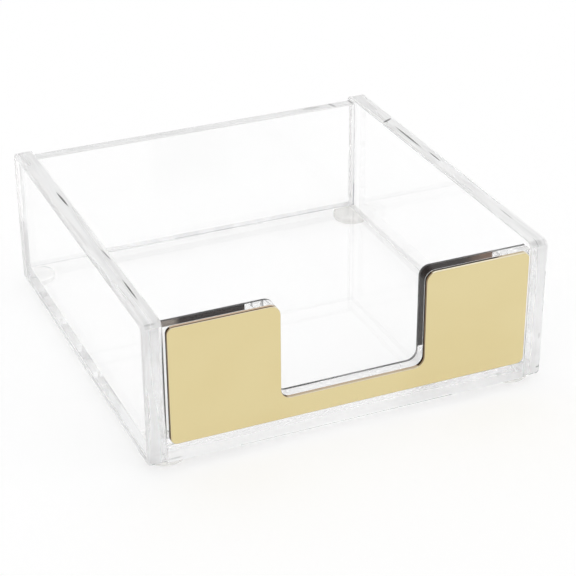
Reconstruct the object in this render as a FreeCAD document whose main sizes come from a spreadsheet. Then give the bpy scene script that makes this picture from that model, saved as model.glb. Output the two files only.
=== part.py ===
import FreeCAD, Part
import os
import re
import Sketcher

# An open tray for a pad of square notes, to stand on a desk. Two thick clear side panels hold a base,
# a lower back panel and a front panel with a finger notch between them. A thin mirrored plate with the
# same notch is stuck to the front with two pieces of film, and four round feet lie under the corners.
# X runs across the tray, Y from front to back and Z up, from the middle of the surface it stands on.

# The driving sizes, in millimetres.
sizes = {
    # The tray as a whole: its width over the side panels.
    "body_width": 95.0,
    # A side panel: its length from front to back, its height and what is rounded off its edges.
    "side_depth": 95.4,
    "side_height": 34.3,
    "side_thickness": 4.5,
    "side_top_radius": 1.8,
    "side_bottom_radius": 1.1,
    "outer_arris_radius": 0.8,
    "inner_arris_radius": 0.3,
    # The base, which lies between the side panels and level with their lower edges.
    "base_thickness": 4.5,
    "base_arris_radius": 0.3,
    # The back and front panels are cut from one thinner sheet and stand on the base.
    "wall_thickness": 3.1,
    "wall_arris_radius": 0.25,
    "back_inset": 1.9,
    "back_drop": 0.65,
    "front_drop": 1.6,
    # The finger notch, and its floor's height above the base.
    "notch_width": 34.2,
    "notch_floor_height": 5.15,
    "notch_radius": 2.4,
    # The mirrored plate, which stands a little proud of the side panels.
    "plate_thickness": 1.0,
    "plate_proud": 0.45,
    "plate_side_gap": 0.6,
    "plate_base_gap": 0.1,
    "plate_corner_radius": 1.6,
    "plate_arris_radius": 0.12,
    # The film that holds the plate, one piece behind each of its two uprights, set in from the upright's
    # edges. Both pieces are stuck on nearer to their upright's left edge.
    "film_thickness": 0.1,
    "film_left_margin": 1.1,
    "film_right_margin": 5.2,
    "film_top_margin": 3.7,
    "film_bottom_margin": 5.9,
    # The feet, and how far their centres lie in from the outer faces.
    "foot_diameter": 9.5,
    "foot_height": 1.5,
    "foot_edge_chamfer": 0.5,
    "foot_inset": 5.6,
}

# How near two measures lie when they are the same place on a shape.
same_place = 0.001

doc = FreeCAD.newDocument("note_tray")
sheet = doc.addObject("Spreadsheet::Sheet", "dimensions")
for row, (alias, size) in enumerate(sizes.items(), start=1):
    sheet.set(f"A{row}", alias.replace("_", " "))
    sheet.set(f"B{row}", str(size))
    sheet.setAlias(f"B{row}", alias)
doc.recompute()


def from_sheet(expression):
    # Writes each size's name in an expression as the cell that holds it.
    return re.sub("[a-z][a-z_]+", lambda word: f"dimensions.{word.group()}", expression)


# Places and sizes that several pieces share.
inner_width = "(body_width - 2 * side_thickness)"
side_front = "((plate_proud - side_depth) / 2)"
side_back = "((plate_proud + side_depth) / 2)"
back_height = "(side_height - base_thickness - back_drop)"
front_height = "(side_height - base_thickness - front_drop)"
base_top = "(foot_height + base_thickness)"
plate_width = f"({inner_width} - 2 * plate_side_gap)"
plate_height = f"({front_height} - plate_base_gap)"
plate_front = f"({side_front} - plate_proud)"
film_front = f"({plate_front} + plate_thickness)"


def make_body(label, x, y, z):
    body = doc.addObject("PartDesign::Body", label)
    body.Label = label
    for axis, expression in zip("xyz", (x, y, z)):
        body.setExpression(f"Placement.Base.{axis}", from_sheet(expression))
    return body


def make_sketch(body, role):
    sketch = body.newObject("Sketcher::SketchObject", f"{body.Label}_outline")
    plane = next(feature for feature in body.Origin.OriginFeatures if feature.Role == role)
    sketch.AttachmentSupport = [(plane, "")]
    sketch.MapMode = "FlatFace"
    return sketch


def draw_outline(sketch, points, mirrored=()):
    # Joins the points by lines that stay level or upright, the mirrored ones alike to left and right.
    following = points[1:] + points[:1]
    for start, end in zip(points, following):
        line = Part.LineSegment(FreeCAD.Vector(*start, 0), FreeCAD.Vector(*end, 0))
        sketch.addGeometry(line, False)
    for index, (start, end) in enumerate(zip(points, following)):
        sketch.addConstraint(Sketcher.Constraint("Coincident", index, 2, (index + 1) % len(points), 1))
        if index in mirrored:
            sketch.addConstraint(Sketcher.Constraint("Symmetric", index, 1, index, 2, -2))
        elif start[1] == end[1]:
            sketch.addConstraint(Sketcher.Constraint("Horizontal", index))
        else:
            sketch.addConstraint(Sketcher.Constraint("Vertical", index))


def bind_distance(sketch, name, direction, start, end, expression):
    # Holds two points of the sketch as far apart, across or up, as the sheet says.
    span = sketch.getPoint(*end) - sketch.getPoint(*start)
    length = span.x if direction == "DistanceX" else span.y
    index = sketch.addConstraint(Sketcher.Constraint(direction, *start, *end, length))
    sketch.renameConstraint(index, name)
    sketch.setExpression(f"Constraints.{name}", from_sheet(expression))


def draw_rectangle(sketch, width, height, centred):
    # From the sketch's own corner, or centred across it, with the lower edge on its level axis.
    left = -sizes["body_width"] / 2 if centred else 0
    right = sizes["body_width"] / 2
    top = sizes["side_height"]
    corners = [(left, 0), (right, 0), (right, top), (left, top)]
    draw_outline(sketch, corners, mirrored=[0] if centred else [])
    if centred:
        sketch.addConstraint(Sketcher.Constraint("PointOnObject", 0, 1, -1))
    else:
        sketch.addConstraint(Sketcher.Constraint("Coincident", 0, 1, -1, 1))
    bind_distance(sketch, "width", "DistanceX", (0, 1), (0, 2), width)
    bind_distance(sketch, "height", "DistanceY", (1, 1), (1, 2), height)


def draw_notched(sketch, width, height, floor):
    # Two uprights joined by a low sill, centred across the sketch.
    side = sizes["body_width"] / 2
    top = sizes["side_height"]
    cut = sizes["notch_width"] / 2
    sill = sizes["notch_floor_height"]
    corners = [(-side, 0), (side, 0), (side, top), (cut, top),
               (cut, sill), (-cut, sill), (-cut, top), (-side, top)]
    draw_outline(sketch, corners, mirrored=[0, 4])
    sketch.addConstraint(Sketcher.Constraint("PointOnObject", 0, 1, -1))
    sketch.addConstraint(Sketcher.Constraint("Equal", 1, 7))
    bind_distance(sketch, "width", "DistanceX", (0, 1), (0, 2), width)
    bind_distance(sketch, "height", "DistanceY", (1, 1), (1, 2), height)
    bind_distance(sketch, "notch", "DistanceX", (4, 2), (4, 1), "notch_width")
    bind_distance(sketch, "sill", "DistanceY", (0, 2), (4, 1), floor)


def pad_sketch(body, sketch, thickness, reverse=False):
    pad = body.newObject("PartDesign::Pad", f"{body.Label}_pad")
    pad.Profile = sketch
    pad.Reversed = reverse
    pad.setExpression("Length", from_sheet(thickness))
    doc.recompute()
    return pad


def edge_names(feature, chosen):
    # Names each edge of the feature whose ends and middle the test chooses.
    names = []
    for index, edge in enumerate(feature.Shape.Edges, start=1):
        middle = edge.valueAt((edge.FirstParameter + edge.LastParameter) / 2)
        if chosen([vertex.Point for vertex in edge.Vertexes] + [middle]):
            names.append(f"Edge{index}")
    return names


def round_edges(body, feature, name, radius, chosen):
    fillet = body.newObject("PartDesign::Fillet", f"{body.Label}_{name}")
    fillet.Base = (feature, edge_names(feature, chosen))
    fillet.setExpression("Radius", from_sheet(radius))
    doc.recompute()
    return fillet


def bevel_edges(body, feature, name, size, chosen):
    chamfer = body.newObject("PartDesign::Chamfer", f"{body.Label}_{name}")
    chamfer.Base = (feature, edge_names(feature, chosen))
    chamfer.setExpression("Size", from_sheet(size))
    doc.recompute()
    return chamfer


def near(value, other):
    return abs(value - other) < same_place


def along_x_at(y=None, z=None):
    # Chooses edges that run across the tray at a given depth and height.
    def chosen(points):
        if near(points[0].x, points[-1].x):
            return False
        return all((y is None or near(p.y, y)) and (z is None or near(p.z, z)) for p in points)
    return chosen


def along_y_at(x, z):
    # Chooses edges that run front to back, on both sides, at a given half width and height.
    def chosen(points):
        if near(points[0].y, points[-1].y):
            return False
        return all(near(abs(p.x), x) and near(p.z, z) for p in points)
    return chosen


def make_side_panel(label, x, reverse):
    # The outer face lies at the body's own zero, and the panel is padded inwards from it.
    body = make_body(label, x, side_front, "foot_height")
    sketch = make_sketch(body, "YZ_Plane")
    draw_rectangle(sketch, "side_depth", "side_height", centred=False)
    pad = pad_sketch(body, sketch, "side_thickness", reverse)
    height = pad.Shape.BoundBox.ZMax
    inner = -sizes["side_thickness"] if reverse else sizes["side_thickness"]
    crown = round_edges(body, pad, "top_corners", "side_top_radius", along_x_at(z=height))
    heel = round_edges(body, crown, "bottom_corners", "side_bottom_radius", along_x_at(z=0))
    outside = round_edges(body, heel, "outer_arris", "outer_arris_radius",
                          lambda points: all(near(p.x, 0) for p in points))
    return round_edges(body, outside, "inner_arris", "inner_arris_radius",
                       lambda points: all(near(p.x, inner) for p in points))


def make_base():
    # Level with the side panels in front, and with the back panel's outer face behind.
    body = make_body("base_panel", "0", side_front, "foot_height")
    sketch = make_sketch(body, "XY_Plane")
    draw_rectangle(sketch, inner_width, "side_depth - back_inset", centred=True)
    pad = pad_sketch(body, sketch, "base_thickness")
    depth = pad.Shape.BoundBox.YMax
    front = round_edges(body, pad, "front_arris", "base_arris_radius", along_x_at(y=0))
    return round_edges(body, front, "back_arris", "base_arris_radius", along_x_at(y=depth, z=0))


def make_back_panel():
    body = make_body("back_panel", "0", f"{side_back} - back_inset - wall_thickness", base_top)
    sketch = make_sketch(body, "XZ_Plane")
    draw_rectangle(sketch, inner_width, back_height, centred=True)
    pad = pad_sketch(body, sketch, "wall_thickness", reverse=True)
    top = pad.Shape.BoundBox.ZMax
    return round_edges(body, pad, "top_arris", "wall_arris_radius", along_x_at(z=top))


def round_notch(body, feature, top, sill):
    # The notch's two lower corners and the uprights' two inner top corners.
    half_notch = sizes["notch_width"] / 2
    low = round_edges(body, feature, "sill_corners", "notch_radius", along_y_at(half_notch, sill))
    return round_edges(body, low, "notch_top_corners", "notch_radius", along_y_at(half_notch, top))


def make_front_panel():
    body = make_body("front_panel", "0", f"{film_front} + film_thickness", base_top)
    sketch = make_sketch(body, "XZ_Plane")
    draw_notched(sketch, inner_width, front_height, "notch_floor_height")
    pad = pad_sketch(body, sketch, "wall_thickness", reverse=True)
    box = pad.Shape.BoundBox
    notched = round_notch(body, pad, box.ZMax, sizes["notch_floor_height"])

    def back_outline(points):
        # Everything round the inner face but the edges that are joined to the sides and the base.
        on_face = all(near(p.y, box.YMax) for p in points)
        joined = all(near(abs(p.x), box.XMax) for p in points) or all(near(p.z, 0) for p in points)
        return on_face and not joined

    return round_edges(body, notched, "back_arris", "wall_arris_radius", back_outline)


def make_front_plate():
    body = make_body("gold_front_plate", "0", plate_front, f"{base_top} + plate_base_gap")
    sketch = make_sketch(body, "XZ_Plane")
    draw_notched(sketch, plate_width, plate_height, "notch_floor_height - plate_base_gap")
    pad = pad_sketch(body, sketch, "plate_thickness", reverse=True)
    box = pad.Shape.BoundBox
    top_corners = round_edges(body, pad, "top_corners", "plate_corner_radius", along_y_at(box.XMax, box.ZMax))
    corners = round_edges(body, top_corners, "bottom_corners", "plate_corner_radius", along_y_at(box.XMax, 0))
    sill = sizes["notch_floor_height"] - sizes["plate_base_gap"]
    notched = round_notch(body, corners, box.ZMax, sill)
    return round_edges(body, notched, "front_arris", "plate_arris_radius",
                       lambda points: all(near(p.y, 0) for p in points))


def make_film(label, side):
    # One piece of film behind one upright of the plate.
    upright = f"({plate_width} - notch_width) / 2"
    middle = f"{side} * ({plate_width} + notch_width) / 4 + (film_left_margin - film_right_margin) / 2"
    bottom = f"{base_top} + plate_base_gap + film_bottom_margin"
    body = make_body(label, middle, film_front, bottom)
    sketch = make_sketch(body, "XZ_Plane")
    width = f"{upright} - film_left_margin - film_right_margin"
    height = f"{plate_height} - film_bottom_margin - film_top_margin"
    draw_rectangle(sketch, width, height, centred=True)
    return pad_sketch(body, sketch, "film_thickness", reverse=True)


def make_foot(label, across, along):
    # A plain disc with its lower edge bevelled.
    x = f"{across} * (body_width / 2 - foot_inset)"
    y = f"plate_proud / 2 + {along} * (side_depth / 2 - foot_inset)"
    body = make_body(label, x, y, "0")
    sketch = make_sketch(body, "XY_Plane")
    radius = sizes["foot_diameter"] / 2
    sketch.addGeometry(Part.Circle(FreeCAD.Vector(0, 0, 0), FreeCAD.Vector(0, 0, 1), radius), False)
    sketch.addConstraint(Sketcher.Constraint("Coincident", 0, 3, -1, 1))
    index = sketch.addConstraint(Sketcher.Constraint("Diameter", 0, sizes["foot_diameter"]))
    sketch.renameConstraint(index, "diameter")
    sketch.setExpression("Constraints.diameter", from_sheet("foot_diameter"))
    pad = pad_sketch(body, sketch, "foot_height")
    return bevel_edges(body, pad, "lower_edge", "foot_edge_chamfer",
                       lambda points: all(near(p.z, 0) for p in points))


make_side_panel("left_side_panel", "-body_width / 2", reverse=False)
make_side_panel("right_side_panel", "body_width / 2", reverse=True)
make_base()
make_back_panel()
make_front_panel()
make_front_plate()
for side_name, side in (("left", -1), ("right", 1)):
    make_film(f"plate_film_{side_name}", side)
for end_name, along in (("front", -1), ("back", 1)):
    for side_name, across in (("left", -1), ("right", 1)):
        make_foot(f"foot_{end_name}_{side_name}", across, along)
doc.recompute()

# Nothing is written unless every feature has worked and every piece is one sound solid.
for item in doc.Objects:
    if "Invalid" in item.State or "Error" in item.State:
        raise RuntimeError(f"{item.Label} did not compute")
pieces = [item for item in doc.Objects if item.TypeId == "PartDesign::Body"]
for piece in pieces:
    shape = piece.Shape
    if shape.isNull() or not shape.isValid() or len(shape.Solids) != 1:
        raise RuntimeError(f"{piece.Label} is not one sound solid")

os.makedirs("parts", exist_ok=True)
for piece in pieces:
    piece.Shape.exportStep(f"parts/{piece.Label}.step")
    box = piece.Shape.BoundBox
    print(f"{piece.Label}: {box.XLength:.2f} x {box.YLength:.2f} x {box.ZLength:.2f},"
          f" volume {piece.Shape.Volume:.1f}")
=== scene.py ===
import math
import bmesh
import bpy
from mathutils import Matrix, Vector


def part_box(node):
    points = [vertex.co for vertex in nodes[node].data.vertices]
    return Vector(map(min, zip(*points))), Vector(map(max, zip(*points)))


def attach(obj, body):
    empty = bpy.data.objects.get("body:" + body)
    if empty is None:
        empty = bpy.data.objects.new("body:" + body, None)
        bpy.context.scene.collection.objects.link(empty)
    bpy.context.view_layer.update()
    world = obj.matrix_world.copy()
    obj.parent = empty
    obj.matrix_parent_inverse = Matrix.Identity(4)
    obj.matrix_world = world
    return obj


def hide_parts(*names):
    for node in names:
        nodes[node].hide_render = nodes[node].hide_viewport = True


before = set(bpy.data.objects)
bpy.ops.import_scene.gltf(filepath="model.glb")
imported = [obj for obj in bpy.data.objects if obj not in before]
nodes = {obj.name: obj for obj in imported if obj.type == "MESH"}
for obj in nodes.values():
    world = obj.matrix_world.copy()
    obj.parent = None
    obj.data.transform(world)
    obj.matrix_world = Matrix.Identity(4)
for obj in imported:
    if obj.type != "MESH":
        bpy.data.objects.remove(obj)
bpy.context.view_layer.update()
scene = bpy.context.scene
print("stage: frame loaded, nodes", len(nodes))

mm = 0.001
smallest = 0.0005 * mm  # places nearer than this are the same place
roundSteps = 8  # steps of a rounded corner
arrisSteps = 4  # steps of a rounded arris
roundProfile = 0.5  # the bevel tool's value for a round section
flatAngle = math.radians(1)  # faces that meet at less than this are one flat face
smoothAngle = math.radians(30)  # faces that meet at less than this are shaded as one
areaWeight = 100  # how far large faces outweigh small ones in the shading, where 50 is even

# How much of a face's normal points along an axis
squareOn = 0.999  # more than this on a face square to the axis
mostly = 0.9  # more than this on a face turned mostly that way
slightly = 0.1  # more than this on a face turned a little that way
edgeOn = 0.02  # less than this on a face that lies along the axis

# Noise lies round 0.5, and the sum of two round 1. It makes its full change within these spans.
wideNoise = (0.3, 0.7)
softNoise = (0.35, 0.65)
mottleNoise = (0.36, 0.64)
addedNoise = (0.8, 1.2)

markFade = (0.6, 1.15)  # shares of a mark's half sizes, between which it fades out


# Helpers for materials
def newMaterial(name):
    material = bpy.data.materials.new(name)
    material.use_nodes = True
    tree = material.node_tree
    for node in list(tree.nodes):
        tree.nodes.remove(node)
    return material, tree, tree.nodes.new("ShaderNodeOutputMaterial")


def addNode(tree, kind, sockets=None, **settings):
    # A socket is given a value, or another node's output to be linked to.
    node = tree.nodes.new("ShaderNode" + kind)
    for name, value in settings.items():
        setattr(node, name, value)
    for name, value in (sockets or {}).items():
        if isinstance(value, bpy.types.NodeSocket):
            tree.links.new(value, node.inputs[name])
        else:
            node.inputs[name].default_value = value
    return node


def addPlace(tree):
    return addNode(tree, "TexCoord").outputs["Object"]


def addPlaceAlong(tree, axis):
    return addNode(tree, "SeparateXYZ", {0: addPlace(tree)}).outputs[axis]


def addNormalAlong(tree, axis):
    normal = addNode(tree, "NewGeometry").outputs["Normal"]
    return addNode(tree, "SeparateXYZ", {0: normal}).outputs[axis]


def addMath(tree, operation, first, second):
    return addNode(tree, "Math", {0: first, 1: second}, operation=operation).outputs[0]


def addSpan(tree, value, start, end, low, high):
    # Turns a value that runs from start to end into one that runs softly from low to high.
    sockets = {"Value": value, "From Min": start, "From Max": end, "To Min": low, "To Max": high}
    return addNode(tree, "MapRange", sockets, interpolation_type="SMOOTHSTEP").outputs["Result"]


def addBlend(tree, share, first, second):
    # The node's colours are its inputs 6 and 7 and its output 2.
    mix = addNode(tree, "Mix", data_type="RGBA")
    tree.links.new(share, mix.inputs["Factor"])
    for socket, colour in ((mix.inputs[6], first), (mix.inputs[7], second)):
        if isinstance(colour, bpy.types.NodeSocket):
            tree.links.new(colour, socket)
        else:
            socket.default_value = (*colour, 1)
    return mix.outputs[2]


def addNoise(tree, grain, seed=0.0, detail=2.0):
    # Noise whose spots have the given sizes across, along and up, in mm.
    sockets = {
        "Vector": addPlace(tree),
        "Location": (seed, seed, seed),
        "Scale": [1 / (size * mm) for size in grain],
    }
    drawn = addNode(tree, "Mapping", sockets).outputs[0]
    return addNode(tree, "TexNoise", {"Vector": drawn, "Scale": 1.0, "Detail": detail}).outputs[0]


def addMarks(tree, tone, marks):
    # Each mark has its middle and half sizes in mm, its turn, and how much of the tone is left in it.
    for middle, half, turn, left in marks:
        sockets = {
            "Vector": addPlace(tree),
            "Location": [size * mm for size in middle],
            "Rotation": (0, 0, math.radians(turn)),
            "Scale": [size * mm for size in half],
        }
        around = addNode(tree, "Mapping", sockets, vector_type="TEXTURE").outputs[0]
        away = addNode(tree, "VectorMath", {0: around}, operation="LENGTH").outputs["Value"]
        tone = addMath(tree, "MULTIPLY", tone, addSpan(tree, away, *markFade, left, 1.0))
    return tone


def finishMaterial(tree, output, sockets):
    shader = addNode(tree, "BsdfPrincipled", sockets)
    tree.links.new(shader.outputs[0], output.inputs["Surface"])


# Materials of the clear sheet
sheet = {
    "bend": 1.49,
    "cloudGrain": (20, 20, 20),
    "cloudTones": (0.994, 1.0),
    "rippleGrain": (7, 7, 7),
    "rippleDepth": 0.004 * mm,
}
cutEdge = {
    # Between these heights an edge goes over from its clearness low down to that high up.
    "heights": (12 * mm, 26 * mm),
    "roughness": (0.2, 0.45),
    "bump": 0.2,
    "bumpDepth": 0.02 * mm,
    # The patches' noise is this many times as coarse as the streaks', and its seed is this much higher.
    "patchSize": 3,
    "patchSeed": 3,
}
weld = {
    "gap": 0.01 * mm,
    "grain": (5, 5, 5),
    "seed": 7.0,
    "detail": 3.0,
    "roughness": 0.5,
    "evenFade": 2 * mm,
    "wallCover": (0.0, 0.04),
    "wallTone": (0.42, 0.42, 0.46),
    "lineCover": (0.16, 0.32),
    "lineTone": (0.34, 0.34, 0.38),
    "lineMarks": [((43, 42.9, 9), (1, 1, 3.5), 0, 2.5)],  # more solvent in the back corner
    "hazeCover": (0.03, 0.1),
    "hazeTone": (0.34, 0.34, 0.4),
    "hazeMarks": [((-46, 42.9, 7), (24, 2, 4), 0, 0.4)],  # fainter at the left end
}
silvery = {
    # Between these heights the layer goes over from grey to silvery.
    "heights": (15 * mm, 19 * mm),
    "mottle": (0.94, 1.0),
    "roughness": 0.3,
}


def addRipple(tree):
    # Cast sheet is very slightly uneven.
    ripple = addNoise(tree, sheet["rippleGrain"])
    sockets = {"Height": ripple, "Strength": 1.0, "Distance": sheet["rippleDepth"]}
    return addNode(tree, "Bump", sockets).outputs[0]


def makeClearSheet(name, glare):
    # The glare is the colour that the polished face reflects with when looked at straight on.
    material, tree, output = newMaterial(name)
    cloud = addNoise(tree, sheet["cloudGrain"], seed=4.0)
    finishMaterial(tree, output, {
        "Base Color": addSpan(tree, cloud, *softNoise, *sheet["cloudTones"]),
        "Roughness": 0.0,
        "IOR": sheet["bend"],
        "Specular Tint": (*glare, 1),
        "Transmission Weight": 1.0,
        "Normal": addRipple(tree),
    })
    return material


def makeCutEdge(name, grain, tones, clearness, marks=(), seed=0.0):
    # Sawn and polished edges are pale and streaky, because light runs about inside the sheet.
    # How clear they are is given for low down and for high up.
    material, tree, output = newMaterial(name)
    streaks = addNoise(tree, grain, seed, detail=1.0)
    patches = addNoise(tree, [size * cutEdge["patchSize"] for size in grain], seed + cutEdge["patchSeed"])
    tone = addSpan(tree, addMath(tree, "ADD", streaks, patches), *addedNoise, *tones)
    bump = {"Height": streaks, "Strength": cutEdge["bump"], "Distance": cutEdge["bumpDepth"]}
    finishMaterial(tree, output, {
        # The marks darken the tone in places: painted shade and painted reflections.
        "Base Color": addMarks(tree, tone, marks),
        "Roughness": addSpan(tree, patches, *wideNoise, *cutEdge["roughness"]),
        "IOR": sheet["bend"],
        "Transmission Weight": addSpan(tree, addPlaceAlong(tree, "Z"), *cutEdge["heights"], *clearness),
        "Normal": addNode(tree, "Bump", bump).outputs[0],
    })
    return material


def makeWeldedFace(name, cover, tone, marks=(), grain=weld["grain"], evenUntil=None):
    # Solvent leaves a thin grey mottled layer between two sheets, and none where a bubble was.
    # From the front as far back as evenUntil it isn't mottled.
    material, tree, output = newMaterial(name)
    mottle = addNoise(tree, grain, weld["seed"], weld["detail"])
    amount = addSpan(tree, mottle, *mottleNoise, *cover)
    if evenUntil is not None:
        fadeStart, fadeEnd = evenUntil - weld["evenFade"], evenUntil + weld["evenFade"]
        share = addSpan(tree, addPlaceAlong(tree, "Y"), fadeStart, fadeEnd, 0.0, 1.0)
        middle = sum(cover) / 2
        change = addMath(tree, "MULTIPLY", addMath(tree, "SUBTRACT", amount, middle), share)
        amount = addMath(tree, "ADD", change, middle)
    finishMaterial(tree, output, {
        "Base Color": (*tone, 1),
        "Roughness": weld["roughness"],
        "IOR": sheet["bend"],
        "Alpha": addMarks(tree, amount, marks),
    })
    return material


def makeSilveryReflection(name, cover, tones):
    # A silvery metal layer that stands in for the reflection in a joint: painted reflection, grey low down
    # and silvery high up.
    # Its cover and its tones are given for low down and for high up.
    material, tree, output = newMaterial(name)
    up = addPlaceAlong(tree, "Z")
    mottle = addSpan(tree, addNoise(tree, weld["grain"], weld["seed"]), *mottleNoise, *silvery["mottle"])
    tone = addSpan(tree, up, *silvery["heights"], *tones)
    finishMaterial(tree, output, {
        "Base Color": addMath(tree, "MULTIPLY", mottle, tone),
        "Metallic": 1.0,
        "Roughness": silvery["roughness"],
        "Alpha": addSpan(tree, up, *silvery["heights"], *cover),
    })
    return material


def makeJoinedFace():
    # The other side of a weld, where light crosses from sheet to sheet without a bend.
    material, tree, output = newMaterial("joinedFace")
    shader = addNode(tree, "BsdfTransparent")
    tree.links.new(shader.outputs[0], output.inputs["Surface"])
    return material


clearSheet = makeClearSheet("clearSheet", (1, 1, 1))
joinedFace = makeJoinedFace()
wallWeld = makeWeldedFace("wallWeld", weld["wallCover"], weld["wallTone"])
weldLine = makeWeldedFace("weldLine", weld["lineCover"], weld["lineTone"], weld["lineMarks"])
weldHaze = makeWeldedFace("weldHaze", weld["hazeCover"], weld["hazeTone"], weld["hazeMarks"])
print("stage: materials of the sheet made")


# Helpers for modelling
def deselectAll():
    bpy.ops.object.select_all(action="DESELECT")


def choose(piece):
    deselectAll()
    piece.select_set(True)
    bpy.context.view_layer.objects.active = piece


def settle(piece):
    # Puts the piece's place and size into its mesh.
    choose(piece)
    bpy.ops.object.transform_apply(location=True, rotation=True, scale=True)


def addBlock(name, low, high):
    deselectAll()
    centre = [(start + end) / 2 for start, end in zip(low, high)]
    bpy.ops.mesh.primitive_cube_add(size=1, location=centre)
    piece = bpy.context.active_object
    piece.name = piece.data.name = name
    piece.scale = [end - start for start, end in zip(low, high)]
    settle(piece)
    return piece


def addUpright(name, low, high):
    # One upright face across the tray, seen from the front, at the low corner's depth.
    deselectAll()
    centre = [(low[0] + high[0]) / 2, low[1], (low[2] + high[2]) / 2]
    bpy.ops.mesh.primitive_plane_add(size=1, location=centre, rotation=(math.pi / 2, 0, 0))
    piece = bpy.context.active_object
    piece.name = piece.data.name = name
    piece.scale = (high[0] - low[0], high[2] - low[2], 1)
    settle(piece)
    return piece


def edit(piece):
    choose(piece)
    bpy.ops.object.mode_set(mode="EDIT")
    bpy.ops.mesh.select_mode(type="VERT")
    bpy.ops.mesh.select_all(action="DESELECT")


def leaveEdit():
    bpy.ops.object.mode_set(mode="OBJECT")


def selectFaces(test):
    # Selects the faces whose middle and normal the test chooses, and no others.
    mesh = bmesh.from_edit_mesh(bpy.context.active_object.data)
    bpy.ops.mesh.select_mode(type="FACE")
    for face in mesh.faces:
        face.select_set(test(face.calc_center_median(), face.normal))
    bmesh.update_edit_mesh(bpy.context.active_object.data)


def selectEdges(test):
    # Selects the edges whose pair of ends the test chooses, and no others.
    bpy.ops.mesh.select_mode(type="EDGE")
    mesh = bmesh.from_edit_mesh(bpy.context.active_object.data)
    for face in mesh.faces:
        face.select_set(False)
    for edge in mesh.edges:
        edge.select_set(test([corner.co for corner in edge.verts]))
    bmesh.update_edit_mesh(bpy.context.active_object.data)


def selectCorners(test):
    # Selects the corners whose place the test chooses, and no others.
    bpy.ops.mesh.select_mode(type="VERT")
    mesh = bmesh.from_edit_mesh(bpy.context.active_object.data)
    for face in mesh.faces:
        face.select_set(False)
    for corner in mesh.verts:
        corner.select_set(test(corner.co))
    bmesh.update_edit_mesh(bpy.context.active_object.data)


def near(value, other):
    return abs(value - other) < smallest


def allAt(ends, axis, place):
    # True for an edge that lies at one place along an axis.
    return all(near(getattr(end, axis), place) for end in ends)


def runsAcross(ends):
    # True for an edge that runs from side to side.
    return allAt(ends, "y", ends[0].y) and allAt(ends, "z", ends[0].z)


def anyFace(middle, normal):
    return True


def isSquare(normal):
    # True on a plain face, false on a rounded corner or arris.
    return max(abs(part) for part in normal) > squareOn


def bevelEdges(radius, steps=arrisSteps):
    bpy.ops.mesh.bevel(offset=radius, segments=steps, profile=roundProfile, affect="EDGES",
                       clamp_overlap=False)


def bevelCorners(radius):
    bpy.ops.mesh.bevel(offset=radius, segments=roundSteps, profile=roundProfile, affect="VERTICES",
                       clamp_overlap=False)


def cutAt(test, axis, places):
    # Cuts the chosen faces by planes square to one axis.
    normal = Vector()
    setattr(normal, axis, 1)
    for place in places:
        point = Vector()
        setattr(point, axis, place)
        selectFaces(test)
        bpy.ops.mesh.bisect(plane_co=point, plane_no=normal)


# The front panel and the gold plate have the same finger notch.
fingerNotch = {
    "half": 17.1 * mm,
    "floor": 11.15 * mm,
    "radius": 2.4 * mm,
}


def cutNotch():
    # Takes the finger notch out of an upright face and rounds its four corners.
    half, floor = fingerNotch["half"], fingerNotch["floor"]
    cutAt(anyFace, "x", (-half, half))
    cutAt(anyFace, "z", (floor,))
    selectFaces(lambda middle, normal: abs(middle.x) < half and middle.z > floor)
    bpy.ops.mesh.delete(type="FACE")
    selectFaces(anyFace)
    bpy.ops.mesh.dissolve_limited(angle_limit=flatAngle)
    selectCorners(lambda place: near(abs(place.x), half) and place.z > floor - smallest)
    bevelCorners(fingerNotch["radius"])


def thicken(depth):
    # Makes a sheet of an upright face, from its place towards the back.
    selectFaces(anyFace)
    bpy.ops.mesh.extrude_region_move(TRANSFORM_OT_translate={"value": (0, depth, 0)})
    bpy.ops.mesh.select_all(action="SELECT")
    bpy.ops.mesh.normals_make_consistent(inside=False)


def giveMaterial(piece, material, test=anyFace):
    # Gives the chosen faces a material in place of the one that they had.
    index = len(piece.data.materials)
    piece.data.materials.append(material)
    for polygon in piece.data.polygons:
        if test(polygon.center, polygon.normal):
            polygon.material_index = index


def finishPiece(piece, node):
    choose(piece)
    bpy.ops.object.shade_smooth_by_angle(angle=smoothAngle)
    bpy.ops.object.modifier_add(type="WEIGHTED_NORMAL")
    flatter = piece.modifiers[-1]
    flatter.mode = "FACE_AREA"
    flatter.weight = areaWeight
    flatter.keep_sharp = True
    bpy.ops.object.modifier_apply(modifier=flatter.name)
    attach(piece, "root")
    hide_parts(node)


# The places where the sheets meet
baseLow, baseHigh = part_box("base_panel")
backLow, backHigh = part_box("back_panel")
frontLow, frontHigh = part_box("front_panel")
plateLow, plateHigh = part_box("gold_front_plate")
filmNodes = ("plate_film_left", "plate_film_right")
films = [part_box(node) for node in filmNodes]


def atBase(place):
    # Where the base is welded to a side panel.
    return place.z < baseHigh.z and place.y < baseHigh.y


def atWall(place):
    # Where the back and the front panel are welded to a side panel.
    back = backLow.y < place.y < backHigh.y and place.z < backHigh.z
    front = frontLow.y < place.y < frontHigh.y and place.z < frontHigh.z
    return (back or front) and not atBase(place)


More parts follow.
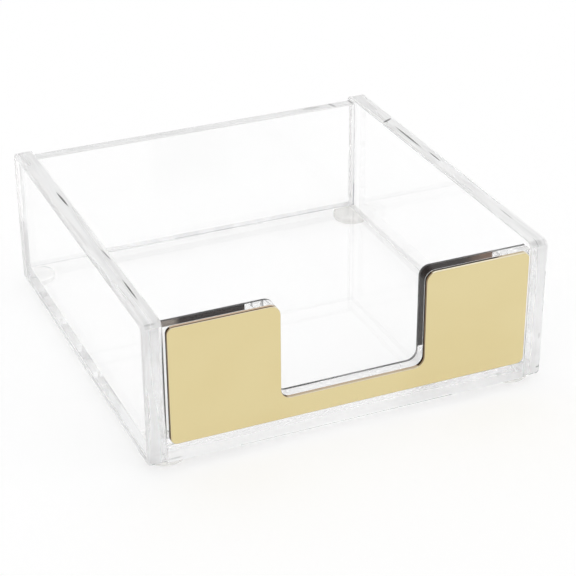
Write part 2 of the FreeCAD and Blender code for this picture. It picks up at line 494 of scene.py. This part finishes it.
# Side panels
sidePanel = {
    "pieces": {"left_side_panel": "leftSidePanel", "right_side_panel": "rightSidePanel"},
    "topRadius": 1.8 * mm,
    "bottomRadius": 1.1 * mm,
    "outerArris": 0.8 * mm,
    "innerArris": 0.3 * mm,
    "grain": (1.0, 18, 18),
    "tones": (0.76, 0.9),
    "clearness": (0.3, 0.3),
    "arrisTones": (0.94, 1.0),
    "arrisClearness": (0.6, 0.6),
    "endTones": (0.985, 1.0),
    "frontClearness": (0.85, 0.85),
    "rearClearness": (0.45, 0.95),
    # Painted reflections: short dark streaks in the polished top edges, and dark spots at the front
    # corners.
    "marks": [
        ((-44.4, 16.7, 35.8), (0.26, 4.4, 0.6), 2, 0.06),
        ((-44.0, -14.2, 35.8), (0.16, 3.0, 0.6), 4, 0.25),
        ((-44.5, -31.6, 35.8), (0.2, 5.2, 0.6), 0, 0.08),
        ((-45.6, -46.9, 35.6), (1.6, 0.3, 0.5), 0, 0.65),
        ((45.05, 16.5, 35.8), (0.26, 7.4, 0.6), 0, 0.06),
        ((45.5, 3.0, 35.8), (0.2, 3.2, 0.6), 0, 0.12),
        ((44.9, 28.0, 35.8), (1.9, 0.4, 0.6), 30, 0.1),
        ((45.4, -32, 35.8), (0.2, 3.2, 0.6), 0, 0.6),
        ((44.6, -46.9, 35.5), (1.5, 0.9, 0.8), 0, 0.8),
        ((-43.1, -47.4, 21), (0.45, 0.8, 16), 0, 0.02),
        ((46.5, -47.5, 11.9), (0.3, 0.5, 0.8), 0, 0.7),
        ((44.3, -47.5, 14.5), (0.5, 0.5, 2.4), 0, 0.88),
        ((43.8, -47.5, 22.0), (0.25, 0.5, 4.5), 0, 0.85),
        ((45.6, -47.5, 8.5), (0.9, 0.5, 2.4), 0, 0.9),
        # Painted reflections of the feet, seen through the lower front corners.
        ((-47.4, -42.6, 1.9), (0.6, 2.6, 0.4), 0, 0.5),
        ((-46.2, -47.4, 2.4), (1.5, 0.5, 1.3), 0, 0.93),
        ((-44.1, -47.5, 2.6), (1.0, 0.5, 0.22), 0, 0.7),
        ((-44.4, -47.5, 4.3), (1.8, 0.5, 0.4), 0, 0.9),
        ((46.7, -47.4, 3.7), (0.6, 0.5, 0.25), 0, 0.3),
        ((46.9, -47.4, 2.3), (0.4, 0.5, 0.4), 0, 0.6),
    ],
    "weldGrain": (4, 7, 3),
    "weldCover": (0.02, 0.25),
    "weldTone": (0.36, 0.36, 0.4),
    "weldEvenUntil": -17 * mm,
    # Clear bubbles and thick spots in the weld to the base, which is clearer on the right.
    "weldMarks": [
        ((43, 0, 3.7), (2, 70, 20), 0, 0.2),
        ((-43, -34, 3.7), (2, 18, 9), 0, 1.45),
        ((-43, 44.2, 3.6), (1, 1.4, 0.5), 0, 2.0),
        ((-43, 37.9, 3.5), (1, 1.8, 0.9), 0, 1.8),
        ((-43, 12.9, 3.4), (1, 1.8, 1.3), 0, 1.9),
        ((-43, -1.9, 3.7), (1, 2.4, 0.9), 0, 2.2),
        ((-43, 11.4, 5.6), (1, 1.6, 0.8), 0, 0.0),
        ((-43, 6.6, 4.8), (1, 1.3, 2.5), 0, 0.0),
        ((-43, -9.4, 4.4), (1, 3.2, 1.6), 0, 0.0),
        ((-43, -13.6, 3.8), (1, 1.6, 2.4), 0, 0.05),
    ],
    # The left side panel's joint with the back panel, and the solvent that has run out behind it; both
    # layers are a painted silvery reflection, greyer low down.
    "backJointCover": (0.9, 0.85),
    "backJointTones": (0.78, 1.0),
    "runOutCover": (0.85, 0.0),
    "runOutTones": (0.78, 1.0),
}
sideEdge = makeCutEdge("sideEdge", sidePanel["grain"], sidePanel["tones"], sidePanel["clearness"],
                       sidePanel["marks"])
sideArris = makeCutEdge("sideArris", sidePanel["grain"], sidePanel["arrisTones"],
                        sidePanel["arrisClearness"], sidePanel["marks"], seed=5.0)
sideEnd = makeCutEdge("sideEnd", sidePanel["grain"], sidePanel["endTones"], sidePanel["frontClearness"],
                      sidePanel["marks"], seed=3.0)
rearEnd = makeCutEdge("rearEnd", sidePanel["grain"], sidePanel["endTones"], sidePanel["rearClearness"],
                      seed=3.5)
sideWeld = makeWeldedFace("sideWeld", sidePanel["weldCover"], sidePanel["weldTone"], sidePanel["weldMarks"],
                          sidePanel["weldGrain"], sidePanel["weldEvenUntil"])
backJoint = makeSilveryReflection("backJoint", sidePanel["backJointCover"], sidePanel["backJointTones"])
runOut = makeSilveryReflection("runOut", sidePanel["runOutCover"], sidePanel["runOutTones"])


def buildSidePanel(node, name):
    low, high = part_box(node)
    piece = addBlock(name, low, high)
    onLeft = low.x < 0
    outer, inner = (low.x, high.x) if onLeft else (high.x, low.x)
    facing = 1 if onLeft else -1
    edit(piece)
    selectEdges(lambda ends: allAt(ends, "z", high.z) and runsAcross(ends))
    bevelEdges(sidePanel["topRadius"], roundSteps)
    selectEdges(lambda ends: allAt(ends, "z", low.z) and runsAcross(ends))
    bevelEdges(sidePanel["bottomRadius"], roundSteps)
    selectEdges(lambda ends: allAt(ends, "x", outer))
    bevelEdges(sidePanel["outerArris"])
    selectEdges(lambda ends: allAt(ends, "x", inner))
    bevelEdges(sidePanel["innerArris"])

    def innerFace(middle, normal):
        return normal.x * facing > squareOn and near(middle.x, inner)

    def atRear(middle, normal):
        return normal.y > mostly or normal.y > slightly and normal.x * facing > slightly

    def atBackPanel(middle, normal):
        return innerFace(middle, normal) and atWall(middle) and middle.y > 0

    def behindBack(middle, normal):
        return innerFace(middle, normal) and middle.y > backHigh.y

    cutAt(innerFace, "z", (baseHigh.z, frontHigh.z, backHigh.z))
    cutAt(innerFace, "y", (frontLow.y, frontHigh.y, backLow.y, baseHigh.y))
    leaveEdit()
    giveMaterial(piece, clearSheet)
    giveMaterial(piece, sideWeld, lambda middle, normal: innerFace(middle, normal) and atBase(middle))
    giveMaterial(piece, wallWeld, lambda middle, normal: innerFace(middle, normal) and atWall(middle))
    giveMaterial(piece, sideEdge, lambda middle, normal: abs(normal.x) < edgeOn)
    giveMaterial(piece, sideArris, lambda middle, normal: edgeOn < abs(normal.x) < squareOn)
    giveMaterial(piece, sideEnd, lambda middle, normal: min(normal.y, normal.z) < -mostly)
    giveMaterial(piece, rearEnd, atRear)
    if onLeft:
        giveMaterial(piece, backJoint, atBackPanel)
        giveMaterial(piece, runOut, behindBack)
    finishPiece(piece, node)


for node, name in sidePanel["pieces"].items():
    buildSidePanel(node, name)
print("stage: side panels made")


# Base
basePanel = {
    "arris": 0.3 * mm,
    "grain": (18, 1.0, 1.0),
    "tones": (0.975, 1.0),
    "arrisTones": (0.96, 1.0),
    "clearness": (0.85, 0.85),
    # Painted shade: a greyer left half. Painted reflections: the feet, seen through the front edge.
    "marks": [
        ((-32, -47.5, 3.7), (30, 3, 9), 0, 0.965),
        ((-41.6, -47.5, 2.45), (1.9, 0.5, 0.25), 0, 0.6),
        ((-42.2, -47.5, 4.3), (2.0, 0.5, 0.4), 0, 0.9),
        ((36.3, -47.5, 4.1), (0.45, 0.5, 0.6), 0, 0.72),
        ((41.5, -47.5, 3.6), (1.9, 0.5, 1.6), 0, 0.95),
    ],
}
baseEdge = makeCutEdge("baseEdge", basePanel["grain"], basePanel["tones"], basePanel["clearness"],
                       basePanel["marks"], seed=2.0)
baseArris = makeCutEdge("baseArris", basePanel["grain"], basePanel["arrisTones"], basePanel["clearness"],
                        seed=6.0)


def buildBase():
    low = Vector((baseLow.x + weld["gap"], baseLow.y, baseLow.z))
    high = Vector((baseHigh.x - weld["gap"], baseHigh.y, baseHigh.z))
    piece = addBlock("basePanel", low, high)
    edit(piece)
    selectEdges(lambda ends: allAt(ends, "y", low.y) and runsAcross(ends))
    bevelEdges(basePanel["arris"])
    selectEdges(lambda ends: allAt(ends, "y", high.y) and allAt(ends, "z", low.z))
    bevelEdges(basePanel["arris"])

    def topFace(middle, normal):
        return normal.z > squareOn

    def underWall(middle, normal):
        return topFace(middle, normal) and (frontLow.y < middle.y < frontHigh.y or middle.y > backLow.y)

    cutAt(topFace, "y", (frontLow.y, frontHigh.y, backLow.y))
    leaveEdit()
    giveMaterial(piece, clearSheet)
    giveMaterial(piece, joinedFace, lambda middle, normal: abs(normal.x) > squareOn)
    giveMaterial(piece, wallWeld, underWall)
    giveMaterial(piece, baseEdge, lambda middle, normal: abs(normal.y) > squareOn)
    giveMaterial(piece, baseArris, lambda middle, normal: not isSquare(normal))
    finishPiece(piece, "base_panel")


buildBase()
print("stage: base made")


# Back panel
backPanel = {
    "arris": 0.25 * mm,
    "seam": 0.3 * mm,
    "haze": 1.3 * mm,
    "grain": (24, 1.1, 1.1),
    "tones": (0.78, 0.86),
    "arrisTones": (0.74, 0.86),
    "clearness": (0.25, 0.25),
    # Painted shade: a greyer left half. Painted reflections: dark spots near the right end of the top edge.
    "marks": [
        ((-24, 44.5, 35.15), (30, 6, 3), 0, 0.96),
        ((31.2, 44.9, 35.15), (2.6, 0.9, 0.6), 0, 0.75),
        ((37.0, 44.6, 35.15), (0.5, 1.6, 0.6), 20, 0.55),
        ((42.4, 45.2, 35.15), (0.4, 2.0, 0.6), 0, 0.5),
    ],
}
backEdge = makeCutEdge("backEdge", backPanel["grain"], backPanel["tones"], backPanel["clearness"],
                       backPanel["marks"], seed=1.0)
backArris = makeCutEdge("backArris", backPanel["grain"], backPanel["arrisTones"], backPanel["clearness"],
                        backPanel["marks"], seed=8.0)


def buildBackPanel():
    low = Vector((backLow.x + weld["gap"], backLow.y, backLow.z + weld["gap"]))
    high = Vector((backHigh.x - weld["gap"], backHigh.y, backHigh.z))
    seamTop, hazeTop = low.z + backPanel["seam"], low.z + backPanel["haze"]
    seamSide = high.x - backPanel["seam"]
    piece = addBlock("backPanel", low, high)
    edit(piece)
    selectEdges(lambda ends: allAt(ends, "z", high.z) and runsAcross(ends))
    bevelEdges(backPanel["arris"])

    def innerFace(middle, normal):
        return normal.y < -squareOn

    def inHaze(middle, normal):
        return innerFace(middle, normal) and middle.z < hazeTop

    def inSeam(middle, normal):
        return innerFace(middle, normal) and (middle.x > seamSide or middle.z < seamTop)

    cutAt(innerFace, "x", (seamSide,))
    cutAt(innerFace, "z", (seamTop, hazeTop))
    leaveEdit()
    giveMaterial(piece, clearSheet)
    giveMaterial(piece, joinedFace, lambda middle, normal: abs(normal.x) > squareOn or normal.z < -squareOn)
    giveMaterial(piece, backEdge, lambda middle, normal: normal.z > squareOn)
    giveMaterial(piece, backArris, lambda middle, normal: not isSquare(normal))
    giveMaterial(piece, weldHaze, inHaze)
    giveMaterial(piece, weldLine, inSeam)
    finishPiece(piece, "back_panel")


buildBackPanel()
print("stage: back panel made")


# Front panel
frontPanel = {
    "arris": 0.25 * mm,
    "seam": 0.24 * mm,
    # The polished edge reflects with a near-black tint, so it shows dark: painted shade.
    "glare": (0.05, 0.02, 0.01),
    "grain": (9, 9, 9),
    "clearness": (0.6, 0.6),
    "arrisTones": (0.02, 0.12),
    # The far border of the polished edge is painted dark too: painted shade.
    "farBorder": 0.6 * mm,
    # The edge is pale where no film is behind it, and has a painted shade beside the right side panel.
    "paleFrom": 36 * mm,
    "paleBelow": 14.4 * mm,
    "paleTones": (0.97, 1.0),
    "paleEdgeShade": [((42.2, -45.3, 34.2), (2.2, 2.4, 0.6), 0, 0.85)],
}
# Its near-black reflection tint is painted shade.
shadedPolishedEdge = makeClearSheet("shadedPolishedEdge", frontPanel["glare"])
paleEdge = makeCutEdge("paleEdge", frontPanel["grain"], frontPanel["paleTones"], frontPanel["clearness"],
                       frontPanel["paleEdgeShade"], seed=4.0)
shadedFarArris = makeCutEdge("shadedFarArris", frontPanel["grain"], frontPanel["arrisTones"], frontPanel["clearness"],
                       seed=9.0)


def buildFrontPanel():
    low = Vector((frontLow.x + weld["gap"], frontLow.y + weld["gap"], frontLow.z + weld["gap"]))
    high = Vector((frontHigh.x - weld["gap"], frontHigh.y, frontHigh.z))
    seamTop = low.z + frontPanel["seam"]
    farBorder = high.y - frontPanel["arris"] - frontPanel["farBorder"]
    piece = addUpright("frontPanel", low, high)
    edit(piece)
    cutNotch()
    thicken(high.y - low.y)

    def backOutline(ends):
        onSide = all(near(abs(end.x), high.x) for end in ends)
        return allAt(ends, "y", high.y) and not onSide and not allAt(ends, "z", low.z)

    def onOutline(middle, normal):
        return abs(normal.y) < edgeOn

    def frontFace(middle, normal):
        return normal.y < -squareOn

    def innerFace(middle, normal):
        return normal.y > squareOn

    def pale(middle, normal):
        past = middle.x > frontPanel["paleFrom"] or middle.z < frontPanel["paleBelow"]
        return onOutline(middle, normal) and past

    def pastBorder(middle, normal):
        return abs(normal.y) < squareOn and middle.y > farBorder

    def welded(middle, normal):
        onSide = abs(normal.x) > squareOn and near(abs(middle.x), high.x)
        underFilm = any(filmLow.x < middle.x < filmHigh.x and filmLow.z < middle.z < filmHigh.z
                        for filmLow, filmHigh in films)
        return onSide or near(middle.z, low.z) or frontFace(middle, normal) and underFilm

    selectEdges(backOutline)
    bevelEdges(frontPanel["arris"])
    for filmLow, filmHigh in films:
        cutAt(frontFace, "x", (filmLow.x, filmHigh.x))
    cutAt(frontFace, "z", [corner.z for corner in films[0]])  # both films have the same heights
    cutAt(innerFace, "z", (seamTop,))
    cutAt(onOutline, "y", (farBorder,))
    cutAt(onOutline, "x", (frontPanel["paleFrom"],))
    cutAt(onOutline, "z", (frontPanel["paleBelow"],))
    leaveEdit()
    giveMaterial(piece, clearSheet)
    giveMaterial(piece, shadedPolishedEdge, onOutline)
    giveMaterial(piece, paleEdge, pale)
    giveMaterial(piece, shadedFarArris, pastBorder)
    giveMaterial(piece, joinedFace, welded)
    giveMaterial(piece, weldLine, lambda middle, normal: innerFace(middle, normal) and middle.z < seamTop)
    finishPiece(piece, "front_panel")


buildFrontPanel()
print("stage: front panel made")


# Gold plate
goldPlate = {
    "cornerRadius": 1.6 * mm,
    "arris": 0.12 * mm,
    "gold": (0.765, 0.655, 0.365),
    "deepGold": (0.75, 0.635, 0.345),
    "goldGrain": (30, 30, 18),
    "scratchGrain": (0.3, 0.3, 6),
    "scratchNoise": (0.3, 0.8),
    "goldRoughness": (0.04, 0.1),
    "backing": (0.1, 0.09, 0.08),
    "backingGrain": (2, 2, 2),
    "backingDark": 0.8,
    "backingRoughness": 0.5,
    # The sawn edge, with painted shade and a painted highlight chosen by where a face looks and where it
    # lies. Each pair has the colour beside the gold and the colour beside the backing.
    "leftEdgeShade": ((0.3, 0.21, 0.11), (0.012, 0.004, 0.003)),
    "leftTopShade": ((0.08, 0.035, 0.01), (0.55, 0.42, 0.3)),
    "rightTopHighlightAndShade": ((0.97, 0.88, 0.66), (0.012, 0.004, 0.002)),
    "notchTopShade": ((0.6, 0.5, 0.36), (0.5, 0.39, 0.28)),
    "otherEdge": ((0.86, 0.78, 0.58), (0.5, 0.4, 0.26)),
    "pairMeets": -0.1 * mm,  # from the middle of the plate's thickness
    "pairFade": 0.06 * mm,
    "darkUntil": 35 * mm,  # past this the right top has the colours of otherEdge
    "topFade": 1 * mm,
    # A face that looks up has the notch top's painted shade below these heights and a top's colours above
    # them.
    "topHeights": (24 * mm, 26 * mm),
    "topNormals": (0.88, 0.97),
    # A face has the left edge's painted shade where it looks left, and low down where it looks right.
    "leftNormals": (-0.5, -0.3),
    "lowHeights": (13.5 * mm, 14.5 * mm),
    "rightNormals": (0.15, 0.3),
    "edgeGrain": (3, 0.3, 3),
    "edgeRoughness": (0.25, 0.5),
    "edgeGlare": 0.05,
}


def makeGold():
    material, tree, output = newMaterial("goldMirror")
    cloud = addSpan(tree, addNoise(tree, goldPlate["goldGrain"], seed=2.0), *softNoise, 0.0, 1.0)
    scratches = addNoise(tree, goldPlate["scratchGrain"], detail=4.0)
    finishMaterial(tree, output, {
        "Base Color": addBlend(tree, cloud, goldPlate["deepGold"], goldPlate["gold"]),
        "Metallic": 1.0,
        "Roughness": addSpan(tree, scratches, *goldPlate["scratchNoise"], *goldPlate["goldRoughness"]),
    })
    return material


def makeBacking():
    material, tree, output = newMaterial("plateBacking")
    paint = addSpan(tree, addNoise(tree, goldPlate["backingGrain"], detail=4.0), *wideNoise, 0.0, 1.0)
    darker = [part * goldPlate["backingDark"] for part in goldPlate["backing"]]
    finishMaterial(tree, output, {
        "Base Color": addBlend(tree, paint, darker, goldPlate["backing"]),
        "Roughness": goldPlate["backingRoughness"],
    })
    return material


def makePlateEdge():
    material, tree, output = newMaterial("plateEdge")
    across, along, up = [addPlaceAlong(tree, axis) for axis in "XYZ"]
    sideways = addNormalAlong(tree, "X")

    def addStep(value, place, fade):
        return addSpan(tree, value, place - fade, place + fade, 0.0, 1.0)

    meeting = (plateLow.y + plateHigh.y) / 2 + goldPlate["pairMeets"]
    behind = addStep(along, meeting, goldPlate["pairFade"])
    rightHalf = addStep(across, 0.0, goldPlate["topFade"])
    pastDark = addStep(across, goldPlate["darkUntil"], goldPlate["topFade"])
    highUp = addSpan(tree, up, *goldPlate["topHeights"], 0.0, 1.0)
    onTop = addSpan(tree, addNormalAlong(tree, "Z"), *goldPlate["topNormals"], 0.0, 1.0)
    looksLeft = addSpan(tree, sideways, *goldPlate["leftNormals"], 1.0, 0.0)
    looksRight = addSpan(tree, sideways, *goldPlate["rightNormals"], 0.0, 1.0)
    lowDown = addSpan(tree, up, *goldPlate["lowHeights"], 1.0, 0.0)
    # Faces get painted shade by where they look and how low they lie; the right top gets a painted
    # highlight beside the gold.
    onLeft = addMath(tree, "MAXIMUM", looksLeft, addMath(tree, "MULTIPLY", lowDown, looksRight))
    names = ("otherEdge", "leftEdgeShade", "notchTopShade", "leftTopShade", "rightTopHighlightAndShade")
    other, left, notch, leftTopShade, rightTopHighlightAndShade = [addBlend(tree, behind, *goldPlate[name]) for name in names]
    rightTopHighlightAndShade = addBlend(tree, pastDark, rightTopHighlightAndShade, other)
    top = addBlend(tree, highUp, notch, addBlend(tree, rightHalf, leftTopShade, rightTopHighlightAndShade))
    side = addBlend(tree, onLeft, other, left)
    grain = addNoise(tree, goldPlate["edgeGrain"])
    finishMaterial(tree, output, {
        "Base Color": addBlend(tree, onTop, side, top),
        "Roughness": addSpan(tree, grain, *wideNoise, *goldPlate["edgeRoughness"]),
        "Specular IOR Level": goldPlate["edgeGlare"],
    })
    return material


def buildGoldPlate():
    low, high = plateLow, plateHigh
    piece = addUpright("goldFrontPlate", low, high)
    edit(piece)
    cutNotch()
    selectCorners(lambda place: near(abs(place.x), high.x))
    bevelCorners(goldPlate["cornerRadius"])
    thicken(high.y - low.y)
    selectEdges(lambda ends: allAt(ends, "y", low.y))
    bevelEdges(goldPlate["arris"])
    leaveEdit()
    giveMaterial(piece, makeGold())
    giveMaterial(piece, makeBacking(), lambda middle, normal: normal.y > squareOn)
    giveMaterial(piece, makePlateEdge(), lambda middle, normal: abs(normal.y) < squareOn)
    finishPiece(piece, "gold_front_plate")


buildGoldPlate()
print("stage: gold plate made")


# Films
film = {
    "dark": (0.012, 0.006, 0.004),
    "paleLeft": (0.34, 0.3, 0.265),
    "paleRight": (0.26, 0.16, 0.11),
    "leftFade": (-38.4 * mm, -36.6 * mm),
    "rightFade": (29.0 * mm, 37.0 * mm),
    "grain": (1.5, 1.5, 1.5),
    "roughness": (0.5, 0.8),
}


def makeFilm():
    # The film lets light in at its outer ends.
    material, tree, output = newMaterial("plateFilm")
    across = addPlaceAlong(tree, "X")
    left = addSpan(tree, across, *film["leftFade"], 1.0, 0.0)
    right = addSpan(tree, across, *film["rightFade"], 0.0, 1.0)
    colour = addBlend(tree, left, film["dark"], film["paleLeft"])
    finishMaterial(tree, output, {
        "Base Color": addBlend(tree, right, colour, film["paleRight"]),
        "Roughness": addSpan(tree, addNoise(tree, film["grain"]), *wideNoise, *film["roughness"]),
        "Specular IOR Level": 0.0,
    })
    return material


plateFilm = makeFilm()
for node in filmNodes:
    nodes[node].data.materials.clear()
    nodes[node].data.materials.append(plateFilm)
print("stage: films finished")


# Feet
foot = {
    "pieces": {
        "foot_front_left": "footFrontLeft",
        "foot_front_right": "footFrontRight",
        "foot_back_left": "footBackLeft",
        "foot_back_right": "footBackRight",
    },
    "sides": 64,
    "lowerRounding": 0.5 * mm,
    "upperRounding": 0.12 * mm,
    "gap": 0.01 * mm,
    "bend": 1.48,
    "grain": (1.2, 1.2, 1.2),
    "roughness": (0.08, 0.2),
    "rimNormals": (0.2, 0.95),  # parts of the normal, between which the rim goes over to the flat
    "tone": (0.98, 0.975, 0.955),
    "rim": (1.0, 0.985, 0.95),
    "clearness": 0.75,
    # The back left foot gets a paler, clearer copy of the feet's material: painted light.
    "litPiece": "foot_back_left",
    "litTone": (0.985, 0.985, 0.98),
    "litRim": (0.93, 0.93, 0.92),
    "litClearness": 0.9,
}


def makeFoot(name, tone, rim, clearness):
    material, tree, output = newMaterial(name)
    upright = addMath(tree, "ABSOLUTE", addNormalAlong(tree, "Z"), 0.0)
    flatness = addSpan(tree, upright, *foot["rimNormals"], 0.0, 1.0)
    finishMaterial(tree, output, {
        "Base Color": addBlend(tree, flatness, rim, tone),
        "Roughness": addSpan(tree, addNoise(tree, foot["grain"]), *wideNoise, *foot["roughness"]),
        "IOR": foot["bend"],
        "Transmission Weight": clearness,
    })
    return material


def buildFoot(node, name, material):
    low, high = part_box(node)
    deselectAll()
    top = high.z - foot["gap"]
    centre = ((low.x + high.x) / 2, (low.y + high.y) / 2, (low.z + top) / 2)
    bpy.ops.mesh.primitive_cylinder_add(vertices=foot["sides"], radius=(high.x - low.x) / 2,
                                        depth=top - low.z, location=centre)
    piece = bpy.context.active_object
    piece.name = piece.data.name = name
    settle(piece)
    edit(piece)
    selectEdges(lambda ends: allAt(ends, "z", low.z))
    bevelEdges(foot["lowerRounding"])
    selectEdges(lambda ends: allAt(ends, "z", top))
    bevelEdges(foot["upperRounding"])
    leaveEdit()
    giveMaterial(piece, material)
    finishPiece(piece, node)


clearFoot = makeFoot("clearFoot", foot["tone"], foot["rim"], foot["clearness"])
# A paler copy of the feet's material for the back left foot: painted light.
litFoot = makeFoot("litFoot", foot["litTone"], foot["litRim"], foot["litClearness"])
for node, name in foot["pieces"].items():
    buildFoot(node, name, litFoot if node == foot["litPiece"] else clearFoot)
print("stage: feet made")


# Room
room = {
    "light": 1.0,
    "floorSize": 12.0,
    "floorTone": 0.5,
    "floorGlow": 0.5,
    "bounces": 48,
    "diffuseBounces": 12,
}
camera = {
    "place": (-142.68 * mm, -344.11 * mm, 210.55 * mm),
    "turn": (61.815, 0.326, -23.423),
    "lens": 110.4,
    "sensor": 36.0,
    "nearest": 0.01,
    "farthest": 50.0,
}


def addFloor():
    # The floor glows where it is seen, mirrored or seen through the sheet, and else is grey card.
    deselectAll()
    bpy.ops.mesh.primitive_plane_add(size=room["floorSize"], location=(0, 0, 0))
    floor = bpy.context.active_object
    floor.name = "floor"
    material, tree, output = newMaterial("paleFloor")
    tone = [room["floorTone"]] * 3
    diffuse = addNode(tree, "BsdfDiffuse", {"Color": (*tone, 1)})
    rays = addNode(tree, "LightPath").outputs
    seen = addMath(tree, "MAXIMUM", rays["Is Camera Ray"], rays["Is Glossy Ray"])
    seen = addMath(tree, "MAXIMUM", seen, rays["Is Transmission Ray"])
    strength = addMath(tree, "MULTIPLY", seen, room["floorGlow"])
    glow = addNode(tree, "Emission", {"Strength": strength})
    both = addNode(tree, "AddShader", {0: diffuse.outputs[0], 1: glow.outputs[0]})
    tree.links.new(both.outputs[0], output.inputs["Surface"])
    floor.data.materials.append(material)


def addWorld():
    world = bpy.data.worlds.new("room")
    scene.world = world
    world.use_nodes = True
    background = world.node_tree.nodes["Background"]
    background.inputs["Color"].default_value = (1, 1, 1, 1)
    background.inputs["Strength"].default_value = room["light"]


def addCamera():
    deselectAll()
    turn = [math.radians(angle) for angle in camera["turn"]]
    bpy.ops.object.camera_add(location=camera["place"], rotation=turn)
    view = bpy.context.active_object
    view.data.lens = camera["lens"]
    view.data.sensor_width = camera["sensor"]
    view.data.clip_start = camera["nearest"]
    view.data.clip_end = camera["farthest"]
    scene.camera = view


addFloor()
addWorld()
addCamera()
scene.view_settings.view_transform = "Standard"
scene.cycles.max_bounces = room["bounces"]
scene.cycles.transmission_bounces = room["bounces"]
scene.cycles.glossy_bounces = room["bounces"]
scene.cycles.transparent_max_bounces = room["bounces"]
scene.cycles.diffuse_bounces = room["diffuseBounces"]
scene.cycles.blur_glossy = 0.0
print("stage: room and camera made")
